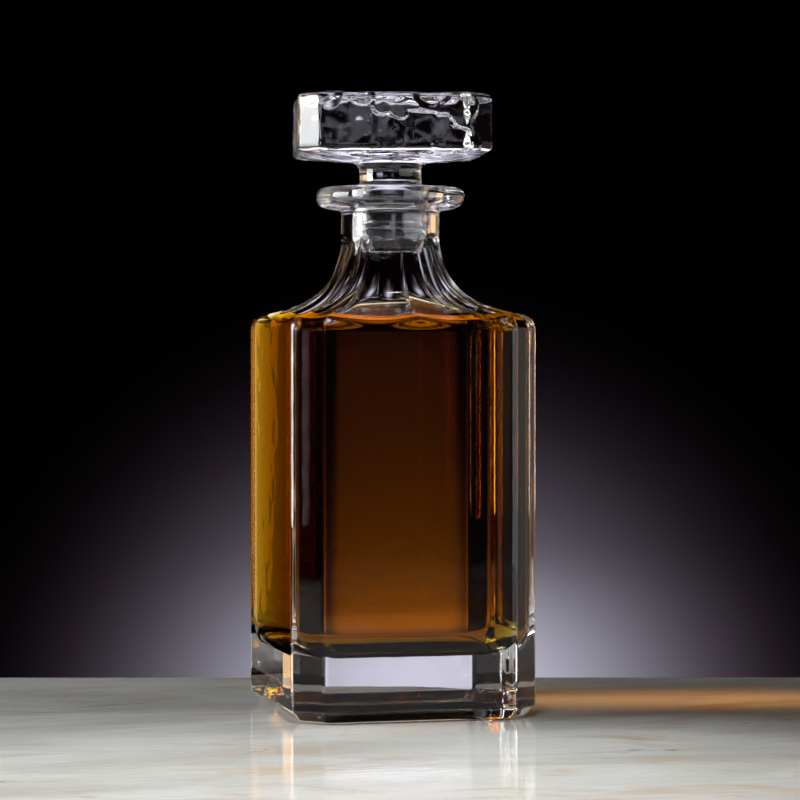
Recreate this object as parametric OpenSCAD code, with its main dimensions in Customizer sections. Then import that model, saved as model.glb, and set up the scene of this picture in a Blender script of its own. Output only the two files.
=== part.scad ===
// Square crystal decanter of spirit with a fluted shoulder and a loose square stopper.
// Millimetres, +Z up. The origin is the middle of the foot, on the surface it stands on.
// The front side looks towards -Y. The upright corners are cut back to narrow flats.

/* [Decanter] */
// Width across two opposite flat sides
body_w = 90; // [84:0.5:96]
// How far each upright corner is cut back along a side
corner_cut = 9.6; // [7:0.1:12]
// Height of the shoulder's outer edge above the foot
edge_z = 143.6; // [134:0.2:152]
// Height of the bevel round the foot
foot_h = 4; // [2:0.1:6]
// How far the foot is set in by that bevel
foot_in = 3.7; // [2:0.1:5]
// Thickness of the upright walls
wall = 5; // [4:0.1:7]
// Thickness of the solid glass under the contents
base_t = 22.5; // [14:0.5:28]
// Radius where the inner floor turns up into the walls
floor_r = 11; // [4:0.5:12]

/* [Shoulder flutes] */
// Height at which the flutes run out on the neck
flute_z = 172; // [169:0.2:174]
// Depth of a wide flute where it reaches the shoulder's edge
dip_edge = 1.2; // [1:0.1:4]
// Depth of a wide flute where it leaves the neck
dip_neck = 1.9; // [0.6:0.1:2.6]
// Depth of the narrow corner flutes as a share of the wide ones
narrow_share = 0.34; // [0.2:0.02:0.6]
// How tightly the outside of the shoulder curves in to the neck
sweep = 0.22; // [0.2:0.01:0.24]
// How tightly the inside of the shoulder curves in to the bore
inner_sweep = 0.28; // [0.24:0.01:0.29]

/* [Neck and lip] */
// Outer radius of the neck
neck_r = 18; // [17.4:0.1:19]
// Radius of the bore through the neck
bore_r = 14.65; // [14.6:0.01:14.75]
// Largest radius of the lip
lip_r = 27.3; // [25:0.1:30]
// Height of the top of the lip
lip_z = 191; // [190:0.1:192]

/* [Contents] */
// Height of the surface of the spirit, in the foot of the shoulder
level_z = 141.5; // [141.2:0.1:150]

/* [Stopper] */
// Width across two opposite flat sides of the head
head_w = 70; // [60:0.5:80]
// How far each corner of the head is cut back along a side
head_cut = 7.75; // [5:0.25:10]
// Height of the head's lower edge
head_z0 = 202.6; // [200.8:0.1:206]
// Height of the head's flat top
head_z1 = 223.7; // [216:0.1:232]
// How far the stopper stands turned in the neck
stopper_turn = -10.2; // [-45:0.1:45]
// Radius of the plug inside its sleeve
plug_r = 13.4; // [13.2:0.05:13.5]
// Height of the plug's lower end
plug_z0 = 167; // [160:0.5:170]

/* [Sealing sleeve] */
// Outer radius of the thin sleeve on the plug
sleeve_r = 14.45; // [14:0.05:14.5]
// Radius over the sleeve's ribs
rib_r = 14.57; // [14.52:0.01:14.58]
// Number of ribs
ribs = 5; // [2:1:6]

/* [Hidden] */
half = body_w/2;
flat_a = atan((half - corner_cut)/half);  // plan angle from a side's middle to its corner flat
round_z = edge_z - 5.2;                   // where the rounding of the shoulder's edge starts
inner_edge = edge_z - 3.7;                // shoulder's edge on the inside
inner_top = flute_z + 1;                  // where the inner shoulder meets the bore
inner_half = half - wall;
inner_cut = corner_cut - wall*(2 - sqrt(2));
wide_n = 7;      // steps across a wide flute
narrow_n = 4;    // steps across a corner flute
gap = 0.1;       // keeps the drawn contents clear of the glass

// Plan angles of the mesh columns: every ridge between two flutes has a column of its own
columns = [for (q = [0:3]) each concat(
  [for (i = [0:wide_n - 1]) 90*q + flat_a*i/wide_n],
  [for (i = [0:narrow_n - 1]) 90*q + flat_a + (90 - 2*flat_a)*i/narrow_n],
  [for (i = [0:wide_n - 1]) 90*q + 90 - flat_a + flat_a*i/wide_n])];

// Smaller of two values, blended over a distance k
function soft_min(a, b, k) = let (h = max(k - abs(a - b), 0)/k) min(a, b) - h*h*k/4;

// Angle from the nearest side's middle, 0 to 45
function fold(a) = let (m = a - 90*floor(a/90)) min(m, 90 - m);

// Radius of a square with cut corners at folded angle f, all sides moved in by d
function cut_square(f, h, c, d, k) =
  soft_min((h - d)/cos(f), ((2*h - c)/sqrt(2) - d)/cos(45 - f), k);

// Depth of the flute at folded angle f: 0 on a ridge, 1 in the middle of a wide flute
function dip(f) = f < flat_a
  ? 1 - pow(2*f/flat_a - 1, 2)
  : narrow_share*(1 - pow((45 - f)/(45 - flat_a), 2));

// Shoulder curve with sweep s: height share (1 at the neck, 0 at the edge) for the reach outwards g
function rise(g, s) = s*(1 + s)/(g + s) - s;

// The reach at which the curve has height share h
function reach(h, s) = s*(1 + s)/(h + s) - s;

function bend3(p, q, r, t) = (1 - t)*(1 - t)*p + 2*t*(1 - t)*q + t*t*r;

// Outside of the decanter as [radius, height] at folded angle f, from the foot to the neck
function outside(f) = let (
    r = cut_square(f, half, corner_cut, 0, 0.5),
    w = dip(f),
    corner = [r, edge_z - w*dip_edge],
    g1 = 1 - 4/(r - neck_r),
    top = shoulder(r, w, g1))
  concat(
    [[cut_square(f, half, corner_cut, foot_in, 0.5), 0], [r, foot_h]],
    [for (t = [0:0.25:1]) bend3([r, round_z], corner, top, t)],
    [for (i = [1:14]) shoulder(r, w, g1*pow(1 - i/14, 1.7))]);

function shoulder(r, w, g) = [neck_r + (r - neck_r)*g,
  edge_z + (flute_z - edge_z)*rise(g, sweep) - w*(dip_neck + (dip_edge - dip_neck)*g)];

// Lip from the neck's outside over the top and into the bore
lip = [[neck_r, lip_z - 9.6], [neck_r + 1, lip_z - 9], [lip_r - 4.4, lip_z - 8.2],
  [lip_r - 2, lip_z - 7], [lip_r - 0.6, lip_z - 5.5], [lip_r, lip_z - 3.8],
  [lip_r - 0.4, lip_z - 2.2], [lip_r - 1.5, lip_z - 0.8], [lip_r - 3.4, lip_z],
  [bore_r + 1.6, lip_z], [bore_r + 0.5, lip_z - 0.4], [bore_r, lip_z - 1.6]];

// Inside of the decanter from reach g0 on the shoulder down to the floor, all sides moved in by d
function inside(f, d, g0) = let (
    r = cut_square(f, inner_half, inner_cut, d, 3),
    b = bore_r - d,
    g1 = 1 - 3/(r - b),
    corner = [r, inner_edge - d],
    top = inner_shoulder(r, b, g1, d))
  concat(
    [for (i = [0:9]) inner_shoulder(r, b, g0 + (g1 - g0)*pow(i/10, 1.7), d)],
    [for (t = [0:0.25:1]) bend3(top, corner, corner - [0, 1.7], t)],
    inner_foot(r, d));

function inner_shoulder(r, b, g, d) =
  [b + (r - b)*g, inner_edge - d + (inner_top - inner_edge)*rise(g, inner_sweep)];

function inner_foot(r, d) = [for (t = [0:15:90])
  [r - floor_r*(1 - cos(t)), base_t + d + floor_r*(1 - sin(t))]];

// A closed skin over columns of [radius, height] points, with a centre point at each end
module skin(angles, profiles, z_start, z_end) {
  n = len(angles);
  m = len(profiles[0]);
  points = concat(
    [[0, 0, z_start]],
    [for (k = [0:m - 1]) for (j = [0:n - 1])
      [profiles[j][k][0]*cos(angles[j]), profiles[j][k][0]*sin(angles[j]), profiles[j][k][1]]],
    [[0, 0, z_end]]);
  faces = concat(
    [for (j = [0:n - 1]) [0, 1 + j, 1 + (j + 1)%n]],
    [for (k = [0:m - 2]) for (j = [0:n - 1]) each let (
        a = 1 + k*n + j, b = 1 + k*n + (j + 1)%n, c = a + n, e = b + n)
      [[a, c, e], [a, e, b]]],
    [for (j = [0:n - 1]) [1 + (m - 1)*n + j, 1 + m*n, 1 + (m - 1)*n + (j + 1)%n]]);
  polyhedron(points, faces, convexity = 6);
}

// "all" draws the whole object, a name draws that piece only

module decanter() {
  color([0.86, 0.9, 0.92, 0.4])
    skin(columns,
      [for (a = columns) concat(outside(fold(a)), lip, inside(fold(a), 0, 0))],
      0, base_t);
}

module whisky() {
  level_g = reach((level_z - inner_edge + gap)/(inner_top - inner_edge), inner_sweep);
  color([0.78, 0.42, 0.08])
    skin(columns,
      [for (a = columns) let (side = inside(fold(a), gap, level_g))
        [for (i = [len(side) - 1:-1:0]) side[i]]],
      base_t + gap, level_z);
}

// Half outline of the plug and stem, exact so that the plug is truly round in its sleeve
stem = [[0, plug_z0], [11, plug_z0], [11.4, plug_z0 + 0.4], [plug_r + 0.2, 175.3],
  [plug_r + 0.2, 176], [plug_r, 176.3], [plug_r, 190.3], [12.8, 191.1], [11.9, 191.8],
  [11.4, 192.9], [11.3, 194.2], [11.3, 196.8], [11.6, 198], [12.3, 199],
  [13.3, 199.7], [14.3, 200.2], [14.3, 201], [0, 201]];

head_steps = 5;
head_a = atan((head_w/2 - head_cut)/(head_w/2));
head_columns = [for (q = [0:3]) each concat(
  [for (i = [0:head_steps - 1]) 90*q + head_a*i/head_steps],
  [for (i = [0:2]) 90*q + head_a + (90 - 2*head_a)*i/3],
  [for (i = [0:head_steps - 1]) 90*q + 90 - head_a + head_a*i/head_steps])];

// Head's outline moved in by d
function head_r(f, d) = cut_square(f, head_w/2, head_cut, d, 0.5);

function head_profile(f) = concat(
  [[16.5, 199.9], [head_r(f, 3.4), head_z0 - 0.4]],
  [for (t = [0:22.5:90]) [head_r(f, 1.6*(1 - sin(t))), head_z0 - 0.1 + 1.8*(1 - cos(t))]],
  [for (t = [0:22.5:90]) [head_r(f, 1.8*(1 - cos(t))), head_z1 - 1.8*(1 - sin(t))]]);

module stopper() {
  color([0.9, 0.93, 0.95, 0.5])
    rotate([0, 0, stopper_turn]) {
      rotate_extrude($fn = 96) polygon(stem);
      skin(head_columns, [for (a = head_columns) head_profile(fold(a))], 199.9, head_z1);
    }
}

rib_step = 12.5/ribs;
rib_edge = [for (i = [0:ribs - 1]) let (z = 177 + rib_step*(i + 0.5)) each
  [[sleeve_r, z - 0.5], [rib_r, z - 0.1], [rib_r, z + 0.1], [sleeve_r, z + 0.5]]];

module seal() {
  color([0.95, 0.96, 0.94, 0.6])
    rotate_extrude($fn = 96)
      polygon(concat([[plug_r + 0.05, 176.6], [sleeve_r - 0.4, 176.6], [sleeve_r, 177]],
        rib_edge, [[sleeve_r, 189.6], [sleeve_r - 0.2, 189.9], [plug_r + 0.05, 189.9]]));
}

decanter();
whisky();
stopper();
seal();
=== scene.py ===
import math
import bmesh
import bpy
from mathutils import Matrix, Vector


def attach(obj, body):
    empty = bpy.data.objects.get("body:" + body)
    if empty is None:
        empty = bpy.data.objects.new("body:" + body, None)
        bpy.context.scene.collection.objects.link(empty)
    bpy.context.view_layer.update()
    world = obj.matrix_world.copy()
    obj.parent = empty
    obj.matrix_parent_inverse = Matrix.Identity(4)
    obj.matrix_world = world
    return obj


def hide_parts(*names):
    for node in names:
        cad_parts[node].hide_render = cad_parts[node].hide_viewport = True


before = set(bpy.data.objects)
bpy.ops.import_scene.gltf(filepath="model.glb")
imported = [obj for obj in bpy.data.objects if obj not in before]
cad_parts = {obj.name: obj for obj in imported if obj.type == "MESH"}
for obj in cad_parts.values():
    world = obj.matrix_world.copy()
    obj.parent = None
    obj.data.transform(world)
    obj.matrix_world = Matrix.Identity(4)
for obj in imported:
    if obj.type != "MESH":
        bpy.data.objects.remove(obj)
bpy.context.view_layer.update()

MM = 0.001

# ---------------------------------------------------------------- sizes, in millimetres
SIDE = 90.0            # across two flat sides of the body
CORNER = 9.6           # cut back along a side at each upright corner
WALL = 5.0
EDGE = 143.6           # the shoulder's outer edge
EDGE_FOOT = 138.4      # where that edge's rounding starts
INNER_EDGE = EDGE - 3.7
SWEEP, INNER_SWEEP = 0.22, 0.28      # how tightly the shoulder curves in, outside and inside
DIP_EDGE, DIP_NECK = 1.2, 1.9        # depth of a wide flute at the edge and at the neck
NARROW = 0.34          # depth of a corner flute as a share of a wide one
NECK_R, NECK_FOOT = 18.0, 172.0
BORE_R, BORE_FOOT = 14.65, 173.0
LIP_R, LIP_TOP = 27.3, 191.0
FLOOR, FLOOR_R = 22.5, 11.0
WAVE, FLOOR_WAVE = 0.04, 0.8         # unevenness of the inner walls and of the inner floor

LEVEL = 141.1          # the spirit's flat surface
CONTACT = 141.5        # where that surface has climbed up the glass
CLIMB = 24             # how quickly it levels out away from the glass
GAP = 0.04             # keeps the spirit clear of the glass
FILM_GAP = 0.02        # keeps the sheet that makes its surface clear of the spirit

HEAD, HEAD_CORNER = 70.0, 7.75
HEAD_FOOT, HEAD_TOP = 202.6, 223.7
HEAD_IN = 0.30         # keeps the head's uneven faces inside its true size
HEAD_SOFT = 0.9        # softness of its upright edges
HEAD_BOW = 1.8         # radius of its upper and lower edges
STEM_TOP = 199.86
STOPPER_TURN = -10.2   # degrees
PLUG_R, PLUG_FOOT = 13.4, 167.0

SLEEVE_R, SLEEVE_FOOT, SLEEVE_TOP = 14.45, 176.6, 189.9
RIBS, RIB_STEP = 5, 2.5
RIB_HEIGHT, RIB_HALF = 0.02, 0.3


# ---------------------------------------------------------------- writing node trees
class Term:
    """A value in a node tree that plain arithmetic can be written with."""

    def __init__(self, tree, socket):
        self.tree, self.socket = tree, socket

    def do(self, operation, *others):
        node = self.tree.nodes.new("ShaderNodeMath")
        node.operation = operation
        for slot, value in zip(node.inputs, (self, *others)):
            feed(self.tree, value, slot)
        return Term(self.tree, node.outputs[0])

    def __add__(self, o): return self.do("ADD", o)
    def __sub__(self, o): return self.do("SUBTRACT", o)
    def __mul__(self, o): return self.do("MULTIPLY", o)
    def __truediv__(self, o): return self.do("DIVIDE", o)


def feed(tree, value, slot):
    """Links a value to a socket, or sets it there if it is a constant."""
    if isinstance(value, Term):
        value = value.socket
    if isinstance(value, bpy.types.NodeSocket):
        tree.links.new(value, slot)
    else:
        slot.default_value = value


def place(tree, kind, props=(), **inputs):
    """A node with its properties and its inputs set, by name."""
    node = tree.nodes.new(kind)
    for key, value in dict(props).items():
        setattr(node, key, value)
    for key, value in inputs.items():
        feed(tree, value, node.inputs[key.replace("_", " ")])
    return node


def ramp(tree, value, start, stop, low=0.0, high=1.0, kind="SMOOTHSTEP"):
    """Goes from low to high as a value goes from start to stop."""
    node = place(tree, "ShaderNodeMapRange", {"interpolation_type": kind}, Value=value,
                 From_Min=start, From_Max=stop, To_Min=low, To_Max=high)
    return Term(tree, node.outputs[0])


def blend(tree, factor, first, second):
    """A colour between two colours, each given as three numbers or as a socket."""
    mix = place(tree, "ShaderNodeMix", {"data_type": "RGBA"}, Factor=factor)
    for slot, colour in zip([i for i in mix.inputs if i.type == "RGBA"], (first, second)):
        feed(tree, (*colour, 1.0) if isinstance(colour, tuple) else colour, slot)
    return next(o for o in mix.outputs if o.type == "RGBA")


def tree_with(name, kind, inputs, outputs):
    """A node tree with named sockets, a way to read its inputs, and its Group Output."""
    tree = bpy.data.node_groups.new(name, kind)
    for label, socket, default in inputs:
        made = tree.interface.new_socket(label, in_out="INPUT", socket_type=socket)
        if default is not None:
            made.default_value = default
    for label, socket in outputs:
        tree.interface.new_socket(label, in_out="OUTPUT", socket_type=socket)
    start = tree.nodes.new("NodeGroupInput")

    def given(label):
        return Term(tree, start.outputs[label])

    return tree, given, tree.nodes.new("NodeGroupOutput")


# ---------------------------------------------------------------- skins
def cut_square_tree():
    """Turns a blank of plan angles and profile rows into a round, fluted or cut-square skin.

    Each point carries its plan angle and its row's numbers: the round radius it starts from, how far
    it reaches out to the cut square, how far that square is moved in, how soft its corners are, its
    height, and how deep the flutes and how strong the waves are there.
    """
    tree, given, end = tree_with("cut_square_skin", "GeometryNodeTree", [
        ("Blank", "NodeSocketGeometry", None),
        ("Side Width", "NodeSocketFloat", SIDE),
        ("Corner Cut", "NodeSocketFloat", CORNER),
        ("Narrow Flute Share", "NodeSocketFloat", NARROW),
        ("Turn", "NodeSocketFloat", 0.0),
        ("Wave Size", "NodeSocketFloat", 14.0),
        ("Seed", "NodeSocketFloat", 0.0),
        ("Main Finish", "NodeSocketMaterial", None),
        ("Second Finish", "NodeSocketMaterial", None),
    ], [("Skin", "NodeSocketGeometry")])

    def carried(name, kind="FLOAT"):
        node = place(tree, "GeometryNodeInputNamedAttribute", {"data_type": kind}, Name=name)
        return Term(tree, node.outputs[0])

    def vector(operation, first, second=None, **inputs):
        node = place(tree, "ShaderNodeVectorMath", {"operation": operation}, **inputs)
        feed(tree, first, node.inputs[0])
        if second is not None:
            feed(tree, second, node.inputs[1])
        return node.outputs[0]

    # the outline of the cut square, from the angle to the nearest side's middle
    quarter, eighth = math.pi / 2, math.pi / 4
    half = given("Side Width") * 0.5
    cut = given("Corner Cut")
    inset, soft = carried("inset"), carried("soft")
    turned = carried("angle").do("FLOORED_MODULO", quarter)
    fold = turned.do("MINIMUM", (turned * -1.0) + quarter)
    side = (half - inset) / fold.do("COSINE")
    corner = ((half * 2.0 - cut) / math.sqrt(2) - inset) / (fold * -1.0 + eighth).do("COSINE")
    meet = (soft - (side - corner).do("ABSOLUTE")).do("MAXIMUM", 0.0) / soft
    outline = side.do("MINIMUM", corner) - meet * meet * soft * 0.25

    # a wide flute to each side and a narrow one to each corner, with a ridge between them
    ridge = ((half - cut) / half).do("ARCTANGENT", 0.0)
    across = (fold * 2.0) / ridge - 1.0
    wide = (across * across) * -1.0 + 1.0
    off = (fold * -1.0 + eighth) / (ridge * -1.0 + eighth)
    narrow = ((off * off) * -1.0 + 1.0) * given("Narrow Flute Share")
    in_wide = fold.do("LESS_THAN", ridge)
    dip = wide * in_wide + narrow * (in_wide * -1.0 + 1.0)

    start = carried("start")
    radius = start + (outline - start) * carried("reach")
    angle = carried("angle") + given("Turn")
    point = place(tree, "ShaderNodeCombineXYZ", X=radius * angle.do("COSINE"),
                  Y=radius * angle.do("SINE"), Z=carried("height") - dip * carried("depth"))

    # the slow unevenness of hand-worked glass, strongest where a row asks for it
    noise = place(tree, "ShaderNodeTexNoise", {"noise_dimensions": "4D"}, Vector=point.outputs[0],
                  W=given("Seed"), Scale=given("Wave Size").do("POWER", -1.0), Detail=1.5)
    level = vector("SUBTRACT", noise.outputs["Color"], (0.5, 0.5, 0.5))
    wave = vector("SCALE", level, Scale=carried("wave"))
    uneven = vector("ADD", point.outputs[0], wave)
    sized = vector("SCALE", uneven, Scale=MM)

    moved = place(tree, "GeometryNodeSetPosition", Geometry=given("Blank"), Position=sized)
    smooth = place(tree, "GeometryNodeSetShadeSmooth", Geometry=moved.outputs[0])
    whole = place(tree, "GeometryNodeRealizeInstances", Geometry=smooth.outputs[0])
    first = place(tree, "GeometryNodeSetMaterial", Geometry=whole.outputs[0],
                  Material=given("Main Finish"))
    second = place(tree, "GeometryNodeSetMaterial", Geometry=first.outputs[0],
                   Selection=carried("second", "BOOLEAN"), Material=given("Second Finish"))
    feed(tree, second.outputs[0], end.inputs[0])
    return tree


CUT_SQUARE = cut_square_tree()


def row(height, start=0.0, reach=0.0, inset=0.0, soft=0.5, depth=0.0, wave=0.0, second=False):
    """One ring of a skin. second says that the band from it to the next has the second finish."""
    return dict(height=height, start=start, reach=reach, inset=inset, soft=soft, depth=depth,
                wave=wave, second=second)


def plan_angles(side, corner, wide, narrow):
    """Plan angles round a cut square, one on every ridge and more of them close to the ridges."""
    ridge = math.atan((side / 2 - corner) / (side / 2))

    def eased(n):
        return [0.45 * i / n + 0.275 * (1 - math.cos(math.pi * i / n)) for i in range(n)]

    angles = []
    for q in range(4):
        base = q * math.pi / 2
        angles += [base + ridge * t for t in eased(wide)]
        angles += [base + ridge + (math.pi / 2 - 2 * ridge) * t for t in eased(narrow)]
        angles += [base + math.pi / 2 - ridge + ridge * t for t in eased(wide)]
    return angles


def blank(name, angles, rows, ring):
    """A mesh of plan angles by rows, which carries the numbers that the skin's tree reads.

    A ring joins its last row to its first. Otherwise both ends close in a point.
    """
    n, m = len(angles), len(rows)
    carry = ("start", "reach", "inset", "soft", "height", "depth", "wave")
    values = {key: [r[key] for r in rows for _ in angles] for key in carry}
    values["angle"] = [a for _ in rows for a in angles]
    points = [(a, k * 0.01, 0.0) for k in range(m) for a in angles]
    faces, marks = [], []
    for k in range(m if ring else m - 1):
        a, b = k * n, ((k + 1) % m) * n
        faces += [(a + j, a + (j + 1) % n, b + (j + 1) % n, b + j) for j in range(n)]
        marks += [rows[k]["second"]] * n
    for k in () if ring else (0, m - 1):
        around = [k * n + j for j in range(n)]
        after = around[1:] + around[:1]
        pairs = zip(after, around) if k == 0 else zip(around, after)
        faces += [(len(points), p, q) for p, q in pairs]
        marks += [rows[k]["second"]] * n
        points.append((0.0, 0.0, 0.0))
        for key in values:
            values[key].append(rows[k][key] if key in ("height", "soft") else 0.0)
    mesh = bpy.data.meshes.new(name)
    mesh.from_pydata(points, [], faces)
    for key, column in values.items():
        mesh.attributes.new(key, "FLOAT", "POINT").data.foreach_set("value", column)
    mesh.attributes.new("second", "BOOLEAN", "FACE").data.foreach_set("value", marks)
    return mesh, [*values, "second"]


def linked(name, data):
    """An object of its own for a mesh, a light or a camera."""
    made = bpy.data.objects.new(name, data)
    bpy.context.scene.collection.objects.link(made)
    return made


def skin(name, angles, rows, side=SIDE, corner=CORNER, turn=0.0, wave_size=14.0, seed=0.0,
         main=None, second=None, ring=False):
    """Builds one closed piece from rows, as a plain mesh."""
    mesh, carried = blank(name, angles, rows, ring)
    piece = linked(name, mesh)
    rule = piece.modifiers.new("Skin", "NODES")
    rule.node_group = CUT_SQUARE
    wanted = {"Side Width": side, "Corner Cut": corner, "Turn": math.radians(turn),
              "Wave Size": wave_size, "Seed": seed, "Main Finish": main,
              "Second Finish": second or main}
    for item in CUT_SQUARE.interface.items_tree:
        if item.item_type == "SOCKET" and item.in_out == "INPUT" and item.name in wanted:
            rule[item.identifier] = wanted[item.name]
    bpy.context.view_layer.update()
    shaped = piece.evaluated_get(bpy.context.evaluated_depsgraph_get())
    made = bpy.data.meshes.new_from_object(shaped)
    piece.modifiers.remove(rule)
    piece.data = made
    for key in carried:
        if key in made.attributes:
            made.attributes.remove(made.attributes[key])
    made.name = name
    return piece


# ---------------------------------------------------------------- finishes
def polished_surface():
    """Fine handling marks, smears, dimples and slow unevenness for clear, polished surfaces."""
    tree, given, end = tree_with("polished_surface", "ShaderNodeTree", [
        ("Ripple Size", "NodeSocketFloat", 160.0),
        ("Ripple", "NodeSocketFloat", 0.3),
        ("Smear Roughness", "NodeSocketFloat", 0.02),
        ("Marks", "NodeSocketFloat", 0.0005),
        ("Dimples", "NodeSocketFloat", 0.0),
    ], [("Roughness", "NodeSocketFloat"), ("Height", "NodeSocketFloat"), ("Mask", "NodeSocketFloat")])
    where = tree.nodes.new("ShaderNodeTexCoord").outputs["Object"]

    def noise(scale, **inputs):
        node = place(tree, "ShaderNodeTexNoise", Vector=where, Scale=scale, **inputs)
        return Term(tree, node.outputs[0])

    slow = noise(given("Ripple Size"), Detail=0.5, Roughness=0.4)
    pit = ramp(tree, noise(70.0, Detail=1.0, Distortion=0.6), 0.55, 0.66)
    fine = noise(900.0, Detail=4.0, Roughness=0.6)
    smear = noise(38.0, Detail=3.0, Roughness=0.65, Distortion=1.2)
    worn = ramp(tree, smear, 0.52, 0.72, kind="LINEAR")
    height = slow * given("Ripple") + pit * given("Dimples") + fine * given("Marks")
    feed(tree, given("Smear Roughness") * worn, end.inputs["Roughness"])
    feed(tree, height, end.inputs["Height"])
    feed(tree, worn, end.inputs["Mask"])
    return tree


POLISHED = polished_surface()
RIPPLE_DEPTH = 0.0006     # metres
SMEAR_SHADE = 0.97        # tint of a smear as a share of the clean one


def finish(name, colour, **settings):
    """A material whose constants sit on the shader's own sockets, with its tree and its shader."""
    made = bpy.data.materials.new(name)
    made.use_nodes = True
    tree = made.node_tree
    shader = tree.nodes["Principled BSDF"]
    shader.inputs["Base Color"].default_value = (*colour, 1.0)
    for key, value in settings.items():
        shader.inputs[key.replace("_", " ")].default_value = value
    return made, tree, shader


def clear_finish(name, colour, ior, ripple, ripple_size=110.0, smear=0.006, dimples=0.0):
    """A clear, polished finish with faint smears and a slow ripple."""
    made, tree, shader = finish(name, colour, IOR=ior, Transmission_Weight=1.0)
    marks = place(tree, "ShaderNodeGroup", {"node_tree": POLISHED}, Ripple_Size=ripple_size,
                  Ripple=ripple, Smear_Roughness=smear, Dimples=dimples)
    bump = place(tree, "ShaderNodeBump", Height=marks.outputs["Height"], Distance=RIPPLE_DEPTH,
                 Strength=1.0)
    smeared = tuple(c * SMEAR_SHADE for c in colour)
    shade = blend(tree, marks.outputs["Mask"], colour, smeared)
    feed(tree, shade, shader.inputs["Base Color"])
    feed(tree, marks.outputs["Roughness"], shader.inputs["Roughness"])
    feed(tree, bump.outputs[0], shader.inputs["Normal"])
    return made


def spirit_finish():
    """Amber spirit, whose colour deepens with the distance that light goes through it."""
    made, tree, shader = finish("amber_spirit", (1.0, 1.0, 1.0), Roughness=0.0, IOR=1.0,
                                Transmission_Weight=1.0)
    absorb = place(tree, "ShaderNodeVolumeAbsorption", Density=140.0, Color=(0.914, 0.80, 0.03, 1.0))
    feed(tree, absorb.outputs[0], tree.nodes["Material Output"].inputs["Volume"])
    where = tree.nodes.new("ShaderNodeTexCoord").outputs["Object"]
    drift = place(tree, "ShaderNodeTexNoise", Vector=where, Scale=9.0)
    tone = blend(tree, drift.outputs[0], (1.0, 1.0, 1.0), (1.0, 0.97, 0.93))
    feed(tree, tone, shader.inputs["Base Color"])
    return made


# Where glass and spirit touch, the wetted crystal's refractive index is their ratio. The spirit's own
# skin then bends nothing, and its free surface is the sheet laid on top of it.
GLASS_IOR, SPIRIT_IOR, SLEEVE_IOR = 1.52, 1.36, 1.45
CRYSTAL_TINT = (0.985, 0.99, 0.992)
crystal = clear_finish("crystal", CRYSTAL_TINT, GLASS_IOR, 0.04)
wetted = clear_finish("crystal_wetted", (0.99, 0.992, 0.992), GLASS_IOR / SPIRIT_IOR, 0.04)
stopper_crystal = clear_finish("stopper_crystal", CRYSTAL_TINT, GLASS_IOR, 0.4,
                               ripple_size=85.0, dimples=1.0)
spirit = spirit_finish()
surface = clear_finish("spirit_surface", (1.0, 1.0, 1.0), SPIRIT_IOR, 0.02, ripple_size=60.0,
                       smear=0.0)
sleeve_clear = clear_finish("clear_sleeve", (0.56, 0.57, 0.59), SLEEVE_IOR, 0.0, smear=0.02)


# ---------------------------------------------------------------- curves
def rise(g, sweep=SWEEP):
    """Height share of the shoulder's curve, 1 at the neck and 0 at its edge, for the reach outwards."""
    return sweep * (1 + sweep) / (g + sweep) - sweep


def curve(points, steps):
    """A smooth line through points (Catmull-Rom), as lists of numbers."""
    out = []
    for i in range(len(points) - 1):
        p = [points[max(i - 1, 0)], points[i], points[i + 1], points[min(i + 2, len(points) - 1)]]
        for s in range(steps):
            t = s / steps
            out.append([0.5 * (2 * b + (c - a) * t + (2 * a - 5 * b + 4 * c - d) * t * t
                               + (3 * b - a - 3 * c + d) * t ** 3) for a, b, c, d in zip(*p)])
    out.append(list(points[-1]))
    return out


def bend3(p, q, r, t):
    """A bend from p to r that leaves towards q."""
    return (1 - t) ** 2 * p + 2 * t * (1 - t) * q + t * t * r


def shares(steps):
    """Even steps from 0 to 1, both of them included."""
    return [i / steps for i in range(steps + 1)]


# ---------------------------------------------------------------- the decanter
def foot_rows():
    """The foot's underside, its small rounding and the bevel round it."""
    rows = [row(0, reach=1, inset=i) for i in (30, 18, 9, 5.5, 4.4)]
    rows += [row(0.35 * (1 - math.cos(t)), reach=1, inset=4.05 - 0.4 * math.sin(t)) for t in (0.3, 0.8)]
    bevel = [(0.22, 3.5), (1.2, 2.6), (2.6, 1.3), (3.6, 0.38), (3.9, 0.14), (4.25, 0.03), (4.7, 0.0)]
    return rows + [row(z, reach=1, inset=i) for z, i in bevel]


def shoulder_rows():
    """The rounded edge and the fluted shoulder. The edge starts level, and the flutes shape its top."""
    edge_end = 0.87     # reach at which the rounding is over
    deep_end = DIP_NECK + (DIP_EDGE - DIP_NECK) * edge_end
    top_z = EDGE + (NECK_FOOT - EDGE) * rise(edge_end)
    rows = [row(bend3(EDGE_FOOT, EDGE, top_z, t), NECK_R, bend3(1.0, 1.0, edge_end, t),
                depth=bend3(0.0, DIP_EDGE, deep_end, t)) for t in shares(14)]
    for t in shares(44)[1:]:
        g = edge_end * (1 - t) ** 1.6
        rows.append(row(EDGE + (NECK_FOOT - EDGE) * rise(g), NECK_R, g,
                        depth=DIP_NECK + (DIP_EDGE - DIP_NECK) * g))
    return rows


def lip_rows():
    """The lip from the neck's outside over its top and into the bore."""
    outline = [(NECK_R, 9.8), (NECK_R + 0.35, 9.05), (NECK_R + 1.4, 8.65), (LIP_R - 4.4, 8.1),
               (LIP_R - 2.1, 7.1), (LIP_R - 0.6, 5.6), (LIP_R - 0.02, 3.8), (LIP_R - 0.35, 2.1),
               (LIP_R - 1.4, 0.8), (LIP_R - 3.1, 0.15), (LIP_R - 4.7, 0.03), (BORE_R + 4.85, 0.02),
               (BORE_R + 2.15, 0.04), (BORE_R + 1.05, 0.25), (BORE_R + 0.3, 0.8), (BORE_R + 0.03, 1.7)]
    return [row(LIP_TOP - drop, r) for r, drop in curve(outline, 3)]


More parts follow.
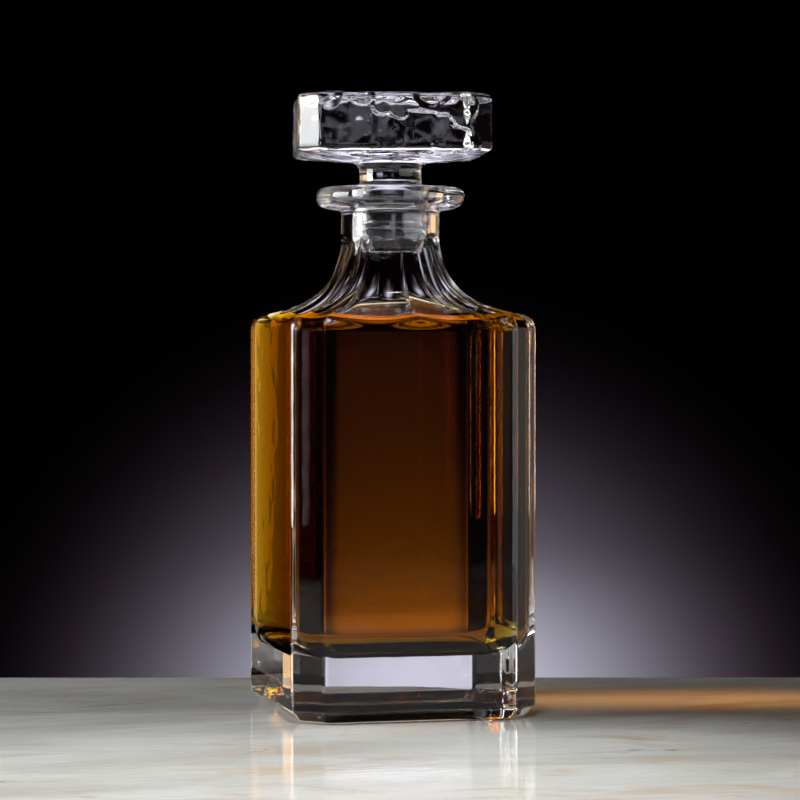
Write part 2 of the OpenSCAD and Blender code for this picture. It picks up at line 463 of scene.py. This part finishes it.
def outside_rows():
    """The outer glass from the foot up to the lip and over into the bore."""
    sides = [row(z, reach=1) for z in (6, 9, 14, 24, 45, 70, 95, 115, 128, 134, 137)]
    neck = [row(NECK_FOOT + up, NECK_R) for up in (0.6, 2, 4.5, 7, 8.6)]
    return foot_rows() + sides + shoulder_rows() + neck + lip_rows()


def inside_rows(add=0.0):
    """The inner glass from the bore down to the middle of the floor, moved in by add."""
    bore, wall, soft = BORE_R - add, WALL + add, 3.0
    edge, floor = INNER_EDGE - add, FLOOR + add
    turn_end = 0.915     # reach at which the inner shoulder turns down into the walls
    rows = [row(z, bore) for z in (188, 184, 180, 177, 174.5)]
    for t in shares(40):
        g = turn_end * t ** 1.6
        rows.append(row(edge + (BORE_FOOT - INNER_EDGE) * rise(g, INNER_SWEEP), bore, g, wall, soft,
                        wave=WAVE * min(1, g * 4)))
    top_z = rows[-1]["height"]
    rows += [row(bend3(top_z, edge, edge - 1.7, t), bore, bend3(turn_end, 1.0, 1.0, t), wall, soft,
                 wave=WAVE) for t in shares(8)[1:]]
    rows += [row(z, bore, 1, wall, soft, wave=WAVE)
             for z in (137.4, 136, 132, 124, 112, 96, 78, 60, 48, 40, 36)]
    for t in shares(14):
        a = math.pi / 2 * t
        rows.append(row(floor + FLOOR_R * (1 - math.sin(a)), bore, 1,
                        wall + FLOOR_R * (1 - math.cos(a)), soft + 2.5 * t,
                        wave=WAVE + (FLOOR_WAVE - WAVE) * t))
    rows += [row(floor, bore, 1, i, soft + 2.5, wave=FLOOR_WAVE * w)
             for i, w in ((14.5, 1), (17.5, 1), (22, 1), (28, 0.8), (35, 0.4))]
    return rows


def marked(rows, second):
    """The same rows, with or without the second finish."""
    return [dict(r, second=second) for r in rows]


def part_at(rows, z):
    """Splits falling rows at a height, where the lower ones get a ring of their own."""
    k = next(i for i, r in enumerate(rows) if r["height"] < z)
    a, b = rows[k - 1], rows[k]
    t = (a["height"] - z) / (a["height"] - b["height"])
    ring = {key: a[key] + (b[key] - a[key]) * t for key in a}
    return rows[:k], [ring] + rows[k:]


GLASS_SEED = 3.0
body_angles = plan_angles(SIDE, CORNER, 26, 10)
dry, wet = part_at(inside_rows(), CONTACT)
decanter = skin("decanter_crystal", body_angles, outside_rows() + dry + marked(wet, True),
                main=crystal, second=wetted, seed=GLASS_SEED)


# ---------------------------------------------------------------- the spirit
def shrunk(r, by, height):
    """A row's outline drawn in towards the middle."""
    g, b = r["reach"], r["start"]
    return dict(r, height=height, start=by * b * (1 - g) / (1 - by * g), reach=by * g,
                wave=r["wave"] * by)


def surface_rows(rim):
    """The spirit's surface from its rim on the glass to the middle."""
    steps = (0.985, 0.965, 0.94, 0.91, 0.87, 0.81, 0.72, 0.58, 0.4, 0.2)
    return [shrunk(rim, by, LEVEL + (rim["height"] - LEVEL) * math.exp(-(1 - by) * CLIMB))
            for by in steps]


def open_lower_end(piece):
    """Takes off the closing fan at a skin's first row, which leaves an open sheet."""
    work = bmesh.new()
    work.from_mesh(piece.data)
    work.verts.ensure_lookup_table()
    bmesh.ops.delete(work, geom=[work.verts[-2]], context="VERTS")
    work.to_mesh(piece.data)
    work.free()


below_rim = marked(part_at(inside_rows(GAP), CONTACT)[1], False)[::-1]
top_rows = surface_rows(below_rim[-1])
whisky = skin("spirit", body_angles, below_rim + top_rows, main=spirit, seed=GLASS_SEED)
film_rows = [dict(r, height=r["height"] + FILM_GAP) for r in [below_rim[-1]] + top_rows]
film = skin("spirit_film", body_angles, film_rows, main=surface, seed=GLASS_SEED)
open_lower_end(film)


# ---------------------------------------------------------------- the stopper
def plug_rows():
    """The plug's lower end, the plug and the waisted stem above it."""
    rows = [row(PLUG_FOOT + up, r)
            for up, r in ((0.0, 5), (0.0, 9.4), (0.01, 10.6), (0.1, 11.05), (0.25, 11.3))]
    outline = [(11.45, 167.5), (12.1, 169.7), (12.8, 172), (PLUG_R, 174.2), (13.62, 175.3),
               (13.56, 176.0), (PLUG_R, 176.5), (PLUG_R, 183), (PLUG_R, 189.7), (13.25, 190.5),
               (12.6, 191.2), (11.8, 191.95), (11.35, 193.0), (11.3, 194.6), (11.3, 196.4),
               (11.55, 197.8), (12.3, 198.9), (13.3, 199.6), (14.6, STEM_TOP)]
    return rows + [row(z, r) for r, z in curve(outline, 2)]


def head_rows():
    """The square head: a flared underside, a rounded lower edge, the sides and a flat top."""
    under_z = HEAD_FOOT - 0.4
    rows = [row(STEM_TOP + (under_z - STEM_TOP) * t, 15.0, t, 3.4, 0.5 + 2.5 * (1 - t), wave=0.9 * t)
            for t in (0.15, 0.35, 0.6, 0.82, 0.94, 1.0)]
    for t in shares(8):
        a = math.pi / 2 * t
        rows.append(row(HEAD_FOOT + 0.1 + HEAD_BOW * (1 - math.cos(a)), 0, 1,
                        HEAD_IN + 1.6 * (1 - math.sin(a)), HEAD_SOFT, wave=0.9))
    rows += [row(HEAD_FOOT + up, 0, 1, HEAD_IN, HEAD_SOFT, wave=1.0)
             for up in (2.6, 3.9, 5.4, 7.4, 9.9, 12.4, 14.9, 16.9, 18.4)]
    for t in shares(8):
        a = math.pi / 2 * t
        rows.append(row(HEAD_TOP - HEAD_IN - HEAD_BOW * (1 - math.sin(a)), 0, 1,
                        HEAD_IN + HEAD_BOW * (1 - math.cos(a)), HEAD_SOFT, wave=1.0))
    top = ((3, 0.4), (5, 0.4), (8, 0.35), (12, 0.3), (17, 0.25), (23, 0.2), (29, 0.1))
    return rows + [row(HEAD_TOP - HEAD_IN, 0, 1, i, HEAD_SOFT, wave=w) for i, w in top]


head_angles = plan_angles(HEAD, HEAD_CORNER, 20, 9)
stopper = skin("stopper_crystal", head_angles, marked(plug_rows(), True) + head_rows(), HEAD,
               HEAD_CORNER, STOPPER_TURN, wave_size=7.0, main=stopper_crystal, second=crystal,
               seed=7.0)


# ---------------------------------------------------------------- the sealing sleeve
def sleeve_outline():
    """A thin tube on the plug, with low ribs round it."""
    inner, low = PLUG_R + 0.05, SLEEVE_FOOT + 0.4
    outline = [(inner, SLEEVE_FOOT), (SLEEVE_R - 0.4, SLEEVE_FOOT), (SLEEVE_R - 0.08, low - 0.25),
               (SLEEVE_R, low)]
    for i in range(RIBS):
        z = low + RIB_STEP * (i + 0.5)
        outline += [(SLEEVE_R + RIB_HEIGHT * (1 - abs(t)), z + RIB_HALF * t)
                    for t in (-1, -0.5, 0, 0.5, 1)]
    return outline + [(SLEEVE_R, SLEEVE_TOP - 0.35), (SLEEVE_R - 0.05, SLEEVE_TOP - 0.1),
                      (SLEEVE_R - 0.2, SLEEVE_TOP), (inner, SLEEVE_TOP)]


round_angles = [2 * math.pi * i / 128 for i in range(128)]
seal = skin("sealing_sleeve", round_angles, [row(z, r) for r, z in sleeve_outline()],
            main=sleeve_clear, ring=True)

# ---------------------------------------------------------------- what rides on what
for piece, body_name, node, slot in ((decanter, "vessel", "decanter", "crystal"),
                                     (whisky, "vessel", "whisky", "spirit"),
                                     (film, "vessel", "whisky", "spirit"),
                                     (stopper, "plug", "stopper", "crystal"),
                                     (seal, "sleeve", "seal", "clear_sleeve")):
    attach(piece, body_name)
    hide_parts(node)

# ---------------------------------------------------------------- table and backdrop, in metres
HEADING = math.radians(14.04)     # the camera stands this far round to the left of the front


def out_to(right, forward, height):
    """A point given from the camera's own side: right and forward of the decanter."""
    c, s = math.cos(HEADING), math.sin(HEADING)
    return Vector((right * c + forward * s, -right * s + forward * c, height))


def slab():
    """A pale polished stone table whose far edge is just behind the decanter."""
    half_width, near, far, thick = 0.9, -0.9, 0.101, 0.03
    mesh = bpy.data.meshes.new("table_top")
    top = [out_to(x, y, 0.0) for x, y in ((-half_width, near), (half_width, near),
                                          (half_width, far), (-half_width, far))]
    under = [v - Vector((0, 0, thick)) for v in top]
    mesh.from_pydata([tuple(v) for v in top + under], [],
                     [(0, 1, 2, 3), (7, 6, 5, 4), (0, 4, 5, 1), (1, 5, 6, 2), (2, 6, 7, 3), (3, 7, 4, 0)])
    made = linked("table_top", mesh)
    edge = made.modifiers.new("Eased edge", "BEVEL")
    edge.width, edge.segments = 0.0012, 3
    return made


def stone_finish():
    """Pale, polished stone with soft clouds, warm patches and broken rusty streaks."""
    made, tree, shader = finish("pale_stone", (0.66, 0.65, 0.62), IOR=1.5)
    where = tree.nodes.new("ShaderNodeTexCoord").outputs["Object"]
    turned = place(tree, "ShaderNodeMapping", Vector=where, Rotation=(0, 0, HEADING + 0.12),
                   Scale=(1.0, 2.6, 1.0))

    def cloud(scale, detail, rough, twist, low, high):
        noise = place(tree, "ShaderNodeTexNoise", Vector=turned.outputs[0], Scale=scale,
                      Detail=detail, Roughness=rough, Distortion=twist)
        return ramp(tree, noise.outputs[0], low, high)

    pale = blend(tree, cloud(7, 5, 0.6, 0.6, 0.35, 0.68), (0.74, 0.74, 0.71), (0.55, 0.54, 0.50))
    warm = blend(tree, cloud(11, 6, 0.62, 1.2, 0.50, 0.72), pale, (0.60, 0.50, 0.39))
    streak = cloud(26, 8, 0.7, 2.2, 0.57, 0.70) * cloud(8, 3, 0.5, 0.4, 0.46, 0.62)
    rusty = blend(tree, streak * 0.75, warm, (0.30, 0.19, 0.11))
    feed(tree, rusty, shader.inputs["Base Color"])
    feed(tree, cloud(40, 6, 0.6, 0.3, 0.35, 0.75) * 0.05 + 0.025, shader.inputs["Roughness"])
    bump = place(tree, "ShaderNodeBump", Height=cloud(90, 4, 0.6, 0.5, 0.3, 0.7),
                 Distance=0.00012, Strength=0.25)
    feed(tree, bump.outputs[0], shader.inputs["Normal"])
    return made


table = slab()
table.data.materials.append(stone_finish())

GLOW_ACROSS, GLOW_UP = 0.0087, -0.1608     # middle of the glow, in radians from straight ahead
GLOW_SQUASH = 0.894                        # its width as a share of its height
GLOW_SIZE, GLOW_FALL, GLOW_BRIGHT = 0.1099, 2.966, 0.606
DIM_VIOLET, BRIGHT_GREY = (1.0, 0.60, 0.92), (1.0, 0.965, 1.18)


def backdrop():
    """Near black, with a soft violet-grey glow low down behind the decanter."""
    world = bpy.data.worlds.new("studio")
    bpy.context.scene.world = world
    world.use_nodes = True
    tree = world.node_tree
    shade = tree.nodes["Background"]

    def bell(value, power, size):
        """1 where the value is 0, and falling away to both sides over about size."""
        return ((value.do("ABSOLUTE") * (1 / size)).do("POWER", power) * -1.0).do("EXPONENT")

    # the direction of view as distances ahead and to the right, and as angles across and up
    look = tree.nodes.new("ShaderNodeTexCoord").outputs["Generated"]
    parts = place(tree, "ShaderNodeSeparateXYZ", Vector=look)
    x, y, z = (Term(tree, parts.outputs[i]) for i in range(3))
    c, s = math.cos(HEADING), math.sin(HEADING)
    ahead = x * s + y * c
    right = x * c - y * s
    across = right.do("ARCTAN2", ahead)
    up = z.do("ARCSINE")

    off, drop = across - GLOW_ACROSS, (up - GLOW_UP) * GLOW_SQUASH
    glow = bell((off * off + drop * drop).do("SQRT"), GLOW_FALL, GLOW_SIZE) * GLOW_BRIGHT
    # two brighter patches straight behind the bottle, low down and in a narrow column
    low_patch = bell(across - 0.014, 2.0, 0.05) * ramp(tree, up, -0.066, -0.115, 0.0, 0.32)
    column = bell(across, 4.0, 0.026) * ramp(tree, up, 0.012, -0.014, 0.0, 0.055)
    # a bright stretch far below the table's edge, which only the glass shows
    below = bell(across, 2.0, 0.6) * ramp(tree, up, -0.34, -0.56, 0.0, 2.3)
    # a lilac card out to the right for the shoulder's front flute, with a dim lower edge
    lilac = ramp(tree, across, 0.15, 0.19) * ramp(tree, across, 0.34, 0.28)
    lilac = lilac * (bell(up - 0.08, 4.0, 0.035) * 0.40 + bell(up - 0.045, 4.0, 0.025) * 0.05)
    # a card on the camera's side for the stopper's front
    behind_camera = ahead.do("LESS_THAN", 0.0)
    near = bell(right - 0.134, 4.0, 0.085) * bell(up - 0.055, 4.0, 0.04) * behind_camera * 1.1
    # a faint light near the horizon on the camera's side, for the other sides of the bottle
    room = (ahead * -0.5 + 0.5) * bell(z + 0.02, 2.0, 0.45) * 0.025

    whiteness = glow * 2.4 + (below + near) * 3.0 + lilac * 8.0
    feed(tree, blend(tree, whiteness, DIM_VIOLET, BRIGHT_GREY), shade.inputs["Color"])
    strength = glow.do("POWER", 2.2) + low_patch + column + below + lilac + near + room
    feed(tree, strength, shade.inputs["Strength"])


backdrop()


# ---------------------------------------------------------------- lights and camera, in metres
def aimed(name, data, place_at, aim):
    """A light or camera at one point, turned towards another."""
    made = linked(name, data)
    made.location = place_at
    made.rotation_euler = (aim - place_at).to_track_quat("-Z", "Y").to_euler()
    return made


def soft_box(name, bearing, reach, start, stop, bottom, top, bright, colour):
    """An upright panel that glass shows and the camera doesn't see directly.

    It stands at reach, square to a bearing in degrees from the camera's side with right as plus.
    start and stop are its two edges, measured along its face from the bearing's line.
    """
    c, s = math.cos(math.radians(bearing)), math.sin(math.radians(bearing))
    off, middle = (start + stop) / 2, (bottom + top) / 2
    width, height = stop - start, top - bottom
    data = bpy.data.lights.new(name, "AREA")
    data.shape = "RECTANGLE"
    data.size, data.size_y = width, height
    data.energy = bright * width * height * math.pi
    data.color = colour
    light = aimed(name, data, out_to(reach * s + off * c, off * s - reach * c, middle),
                  out_to(off * c, off * s, middle))
    light.visible_camera = False


def spot(name, place_at, aim, angle, size, watts, colour):
    """A soft round spot that the camera doesn't see directly."""
    data = bpy.data.lights.new(name, "SPOT")
    data.spot_size, data.spot_blend = math.radians(angle), 1.0
    data.shadow_soft_size, data.energy, data.color = size, watts, colour
    light = aimed(name, data, place_at, aim)
    light.visible_camera = False
    return light


COOL = (0.97, 0.99, 1.0)
# name, bearing, reach, start, stop, bottom, top, brightness and colour; the far light on the right
# is three panels side by side, brighter and warmer towards the back
for box in (("left_strip", -83, 0.66, -0.18, 0.18, 0.03, 0.205, 11.0, COOL),
            ("left_upper", -83, 0.66, -0.18, 0.18, 0.205, 0.50, 16.0, COOL),
            ("right_near", 62, 0.70, -0.40, 0.40, 0.0, 0.24, 1.5, (0.93, 0.97, 1.0)),
            ("far_warm", 125, 0.70, 0.032, 0.375, -0.18, 0.24, 1.25, (1.0, 0.62, 0.32)),
            ("far_mid", 125, 0.70, 0.017, 0.032, -0.18, 0.24, 0.75, (1.0, 0.72, 0.5)),
            ("far_dim", 125, 0.70, -0.375, 0.017, -0.18, 0.24, 0.36, (1.0, 0.92, 0.86))):
    soft_box(*box)

spot("above", out_to(0.0, -0.22, 1.1), out_to(0.0, -0.26, 0.0), 29, 0.05, 66.0, (1, 1, 1))

# the light that the spirit throws on the stone, as two ovals that lie along the table's far edge
patch = spot("amber_patch", out_to(0.13, 0.0, 0.60), out_to(0.155, -0.01, 0.0), 19, 0.02, 16.0,
             (1.0, 0.50, 0.20))
patch.scale = (1.5, 0.35, 1.0)
rear = spot("amber_rear", out_to(0.0, 0.075, 0.60), out_to(0.0, 0.075, 0.0), 11, 0.02, 4.0,
            (1.0, 0.42, 0.10))
rear.scale = (1.6, 0.30, 1.0)
for oval in (patch, rear):
    oval.rotation_euler.z = -HEADING

CAMERA_REACH, CAMERA_HEIGHT = 1.144, 0.1391
AIM_RIGHT, AIM_HEIGHT = 0.003554, 0.11312
camera_data = bpy.data.cameras.new("camera")
camera_data.lens = 140.5
camera_data.sensor_width = 36.0
camera_data.clip_start, camera_data.clip_end = 0.05, 20.0
camera = aimed("camera", camera_data, out_to(0.0, -CAMERA_REACH, CAMERA_HEIGHT),
               out_to(AIM_RIGHT, 0.0, AIM_HEIGHT))

scene = bpy.context.scene
scene.camera = camera
scene.view_settings.view_transform = "Standard"
scene.cycles.max_bounces = 24
scene.cycles.transmission_bounces = 24
scene.cycles.glossy_bounces = 10
scene.cycles.transparent_max_bounces = 8
scene.cycles.sample_clamp_indirect = 6.0
scene.cycles.blur_glossy = 0.3
